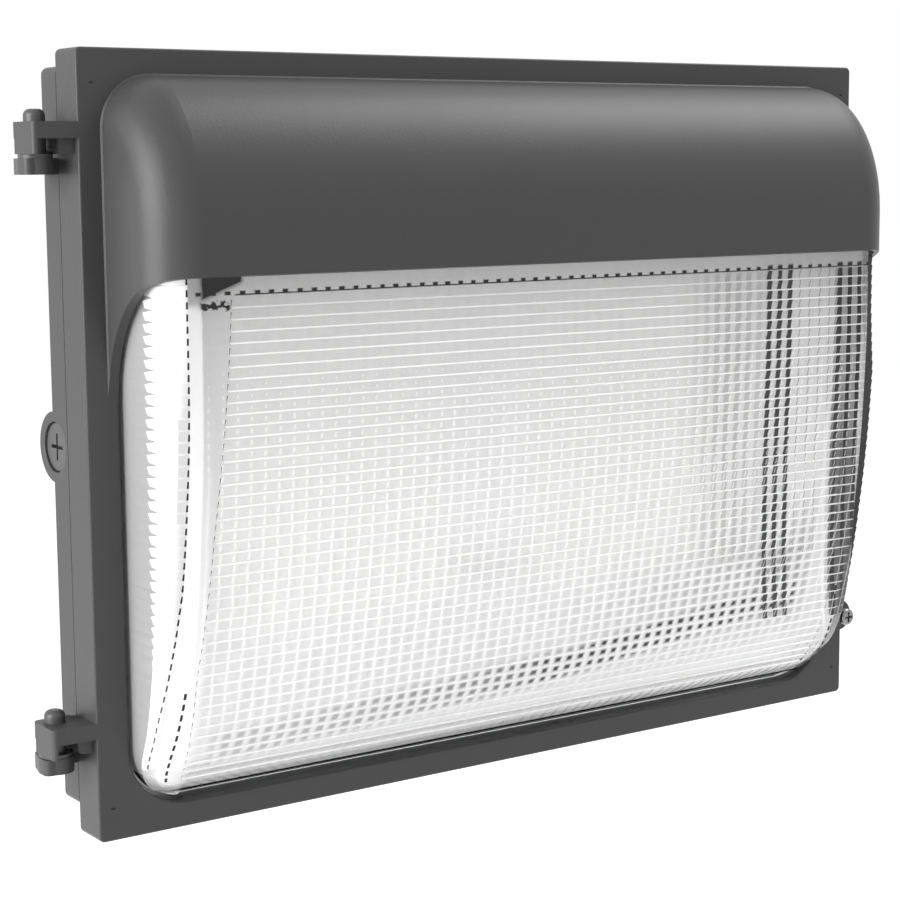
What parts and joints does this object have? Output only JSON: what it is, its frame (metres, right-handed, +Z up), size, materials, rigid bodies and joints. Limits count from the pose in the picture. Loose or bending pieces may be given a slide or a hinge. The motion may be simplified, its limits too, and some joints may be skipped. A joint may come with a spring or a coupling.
{
  "type": "wall pack light",
  "caption": "Wall pack light: cast housing with a side-hinged hooded door, a ribbed prismatic glass lens, an LED tray and driver inside, and plugged conduit entries.",
  "frame": {"origin": "centre of the housing's flat wall face, between the fixing holes, level with the middle of the door", "axes": "+X right along the door's length seen from the front, +Y into the wall, +Z up; the lens faces -Y"},
  "size_m": [0.4327, 0.0997, 0.304],
  "materials": {
    "housing_paint": "fine textured powder coat, dark grey",
    "door_paint": "fine textured powder coat, dark grey",
    "pin_paint": "powder coat over steel, dark grey",
    "lens_glass": "clear prismatic glass, ribbed and fluted",
    "lens_rubber": "matt silicone",
    "door_rubber": "matt silicone foam",
    "retainer_steel": "zinc plated",
    "screw_steel": "plated",
    "closure_steel": "bright stainless",
    "ring_steel": "spring steel",
    "plug_paint": "powder coat, dark grey",
    "seal_rubber": "black nitrile",
    "tray_white": "bright white gloss paint",
    "board_white": "white solder mask",
    "chip_resin": "pale phosphor resin",
    "connector_plastic": "white nylon",
    "grommet_rubber": "black rubber",
    "driver_case": "folded sheet, satin",
    "lead_red": "PVC insulation",
    "lead_grey": "PVC insulation",
    "terminal_plastic": "beige nylon",
    "terminal_brass": "nickel free brass",
    "ground_green": "green dyed steel",
    "washer_nylon": "black nylon"
  },
  "bodies": {
    "housing": {"back_housing": "housing_paint", "reflector_tray": "tray_white", "tray_screws": "screw_steel", "led_board_screws": "screw_steel", "led_connectors": "connector_plastic", "tray_grommet": "grommet_rubber", "wall_grommet": "grommet_rubber", "led_driver": "driver_case", "driver_screws": "screw_steel", "output_leads": "lead_red", "supply_leads": "lead_grey", "terminal_block": "terminal_plastic", "terminal_screws": "terminal_brass", "ground_screw": "ground_green", "led_board_left": "board_white", "led_chips_left": "chip_resin", "led_board_right": "board_white", "led_chips_right": "chip_resin", "hinge_pin_upper": "pin_paint", "hinge_washer_upper": "washer_nylon", "hinge_pin_lower": "pin_paint", "hinge_washer_lower": "washer_nylon"},
    "door": {"door_frame": "door_paint", "glass_lens": "lens_glass", "lens_gasket": "lens_rubber", "lens_retainer": "retainer_steel", "retainer_screws": "screw_steel", "door_gasket": "door_rubber"},
    "closure_upper": {"closure_screw_upper": "closure_steel", "closure_ring_upper": "ring_steel"},
    "closure_lower": {"closure_screw_lower": "closure_steel", "closure_ring_lower": "ring_steel"},
    "plug_left": {"conduit_plug_left": "plug_paint", "plug_seal_left": "seal_rubber"},
    "plug_right": {"conduit_plug_right": "plug_paint", "plug_seal_right": "seal_rubber"}
  },
  "joints": [
    {"name": "door_hinge", "type": "hinge", "parent": "housing", "child": "door", "pos_m": [-0.2113, -0.0448, 0], "axis": [0, 0, -1], "range_deg": [0, 120]},
    {"name": "closure_screw_upper_travel", "type": "slide", "parent": "door", "child": "closure_upper", "axis": [0, -1, 0], "range_m": [0, 0.006]},
    {"name": "closure_screw_lower_travel", "type": "slide", "parent": "door", "child": "closure_lower", "axis": [0, -1, 0], "range_m": [0, 0.006]},
    {"name": "conduit_plug_left_travel", "type": "slide", "parent": "housing", "child": "plug_left", "axis": [-1, 0, 0], "range_m": [0, 0.016]},
    {"name": "conduit_plug_right_travel", "type": "slide", "parent": "housing", "child": "plug_right", "axis": [1, 0, 0], "range_m": [0, 0.016]}
  ]
}
